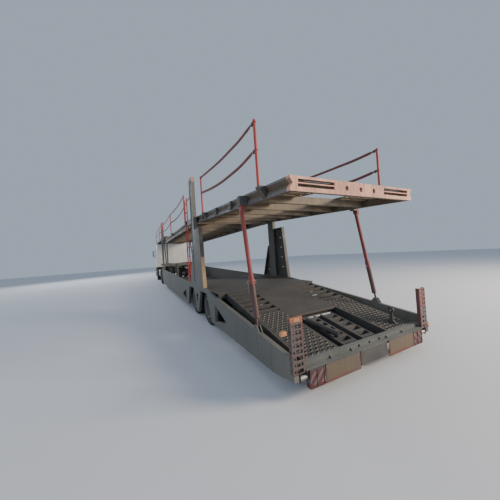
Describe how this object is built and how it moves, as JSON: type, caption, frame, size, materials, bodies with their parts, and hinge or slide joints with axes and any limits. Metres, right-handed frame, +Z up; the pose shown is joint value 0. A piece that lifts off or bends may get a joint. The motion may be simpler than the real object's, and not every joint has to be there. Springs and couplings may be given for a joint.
{
  "type": "car transporter truck",
  "caption": "Articulated car transporter with a sloping lower deck, tilting and lifting upper decks on posts, a deck over the cab, and a two-axle tractor with hinged doors.",
  "frame": {"origin": "on the ground, at the centre of the whole vehicle's bounding box", "axes": "+X forward, +Y left, +Z up"},
  "size_m": [19.6, 2.84, 4],
  "materials": {
    "trailer_grey": "dusty matt paint",
    "deck_steel": "worn, dirty",
    "beam_green": "faded paint",
    "marker_yellow": "reflective sheet, red edge",
    "lamp_red": "dull gloss",
    "post_orange": "faded paint",
    "rail_red": "faded, rust spots",
    "deck_grey": "faded paint, brown below",
    "cab_white": "gloss with road film",
    "black_plastic": "dusty",
    "window_glass": "clear",
    "interior": "matt",
    "chassis_black": "dirty",
    "engine_iron": "oily",
    "tank_alloy": "brushed",
    "lamp_clear": "clear lens",
    "tyre_black": "worn rubber",
    "rim_paint": "dirty steel paint",
    "eye_steel": "worn"
  },
  "bodies": {
    "trailer": {"side_panels": "trailer_grey", "rear_tracks": "deck_steel", "stowed_ramps": "chassis_black", "lower_deck": "deck_steel", "rear_beam": "beam_green", "marker_plates": "marker_yellow", "rear_lamps": "lamp_red", "rear_eye": "eye_steel", "corner_posts": "post_orange", "deck_posts": "trailer_grey", "gooseneck": "trailer_grey", "landing_legs": "chassis_black", "trailer_axles": "chassis_black", "access_ladder": "trailer_grey", "head_deck": "trailer_grey", "head_rails": "rail_red"},
    "rear_deck": {"rear_deck_frame": "deck_grey", "rear_deck_floor": "deck_steel", "rear_deck_rails": "rail_red"},
    "stay_left": {"rear_stay_left": "rail_red"},
    "stay_right": {"rear_stay_right": "rail_red"},
    "front_deck": {"front_deck_frame": "deck_grey", "front_deck_floor": "deck_steel", "front_deck_rails": "rail_red"},
    "tractor": {"chassis": "chassis_black", "fifth_wheel": "chassis_black", "engine_block": "engine_iron", "front_axle": "chassis_black", "drive_axle": "chassis_black", "tanks": "tank_alloy", "mudguards": "black_plastic", "cab_shell": "cab_white", "windscreen": "window_glass", "cab_interior": "interior", "bumper": "cab_white", "cab_trim": "black_plastic", "headlamps": "lamp_clear", "mirrors": "black_plastic"},
    "door_left_body": {"door_left": "cab_white", "door_left_glass": "window_glass"},
    "door_right_body": {"door_right": "cab_white", "door_right_glass": "window_glass"},
    "knuckle_left_body": {"knuckle_left": "chassis_black"},
    "knuckle_right_body": {"knuckle_right": "chassis_black"},
    "steer_left_wheel": {"steer_left_tyre": "tyre_black", "steer_left_rim": "rim_paint"},
    "steer_right_wheel": {"steer_right_tyre": "tyre_black", "steer_right_rim": "rim_paint"},
    "drive_left_wheel": {"drive_left_tyre": "tyre_black", "drive_left_rim": "rim_paint"},
    "drive_right_wheel": {"drive_right_tyre": "tyre_black", "drive_right_rim": "rim_paint"},
    "trailer_rear_left_wheel": {"trailer_rear_left_tyre": "tyre_black", "trailer_rear_left_rim": "rim_paint"},
    "trailer_rear_right_wheel": {"trailer_rear_right_tyre": "tyre_black", "trailer_rear_right_rim": "rim_paint"},
    "trailer_front_left_wheel": {"trailer_front_left_tyre": "tyre_black", "trailer_front_left_rim": "rim_paint"},
    "trailer_front_right_wheel": {"trailer_front_right_tyre": "tyre_black", "trailer_front_right_rim": "rim_paint"}
  },
  "joints": [
    {"name": "rear_deck_tilt", "type": "hinge", "parent": "trailer", "child": "rear_deck", "pos_m": [-5.61, 0, 2.6504], "axis": [0, 1, 0], "range_deg": [0, 5]},
    {"name": "stay_left_fold", "type": "hinge", "parent": "trailer", "child": "stay_left", "pos_m": [-8.988, 1.245, 0.636], "axis": [0, 1, 0], "range_deg": [0, 70]},
    {"name": "stay_right_fold", "type": "hinge", "parent": "trailer", "child": "stay_right", "pos_m": [-8.988, -1.245, 0.636], "axis": [0, 1, 0], "range_deg": [0, 70]},
    {"name": "front_deck_lift", "type": "slide", "parent": "trailer", "child": "front_deck", "axis": [0, 0, 1], "range_m": [-0.5, 0.35]},
    {"name": "kingpin_swing", "type": "hinge", "parent": "trailer", "child": "tractor", "pos_m": [5.25, 0, 1.08], "axis": [0, 0, 1], "range_deg": [-60, 60]},
    {"name": "door_left_hinge", "type": "hinge", "parent": "tractor", "child": "door_left_body", "pos_m": [9.3765, 1.255, 1.4], "axis": [0, 0, -1], "range_deg": [0, 70]},
    {"name": "door_right_hinge", "type": "hinge", "parent": "tractor", "child": "door_right_body", "pos_m": [9.3765, -1.255, 1.4], "axis": [0, 0, 1], "range_deg": [0, 70]},
    {"name": "steer_left_turn", "type": "hinge", "parent": "tractor", "child": "knuckle_left_body", "pos_m": [8.38, 0.9, 0.475], "axis": [0, 0, 1], "range_deg": [-38, 38]},
    {"name": "steer_right_turn", "type": "hinge", "parent": "tractor", "child": "knuckle_right_body", "pos_m": [8.38, -0.9, 0.475], "axis": [0, 0, 1], "range_deg": [-38, 38]},
    {"name": "steer_left_roll", "type": "hinge", "parent": "knuckle_left_body", "child": "steer_left_wheel", "pos_m": [8.38, 1.0725, 0.475], "axis": [0, 1, 0], "continuous": true},
    {"name": "drive_left_roll", "type": "hinge", "parent": "tractor", "child": "drive_left_wheel", "pos_m": [4.65, 0.93, 0.475], "axis": [0, 1, 0], "continuous": true},
    {"name": "trailer_rear_left_roll", "type": "hinge", "parent": "trailer", "child": "trailer_rear_left_wheel", "pos_m": [-6.35, 0.94, 0.398], "axis": [0, 1, 0], "continuous": true},
    {"name": "trailer_front_left_roll", "type": "hinge", "parent": "trailer", "child": "trailer_front_left_wheel", "pos_m": [-5.04, 0.94, 0.398], "axis": [0, 1, 0], "continuous": true},
    {"name": "steer_right_roll", "type": "hinge", "parent": "knuckle_right_body", "child": "steer_right_wheel", "pos_m": [8.38, -1.0725, 0.475], "axis": [0, 1, 0], "continuous": true},
    {"name": "drive_right_roll", "type": "hinge", "parent": "tractor", "child": "drive_right_wheel", "pos_m": [4.65, -0.93, 0.475], "axis": [0, 1, 0], "continuous": true},
    {"name": "trailer_rear_right_roll", "type": "hinge", "parent": "trailer", "child": "trailer_rear_right_wheel", "pos_m": [-6.35, -0.94, 0.398], "axis": [0, 1, 0], "continuous": true},
    {"name": "trailer_front_right_roll", "type": "hinge", "parent": "trailer", "child": "trailer_front_right_wheel", "pos_m": [-5.04, -0.94, 0.398], "axis": [0, 1, 0], "continuous": true}
  ],
  "couplings": [
    {"joint": "steer_right_turn", "follows": "steer_left_turn", "ratio": 1}
  ]
}
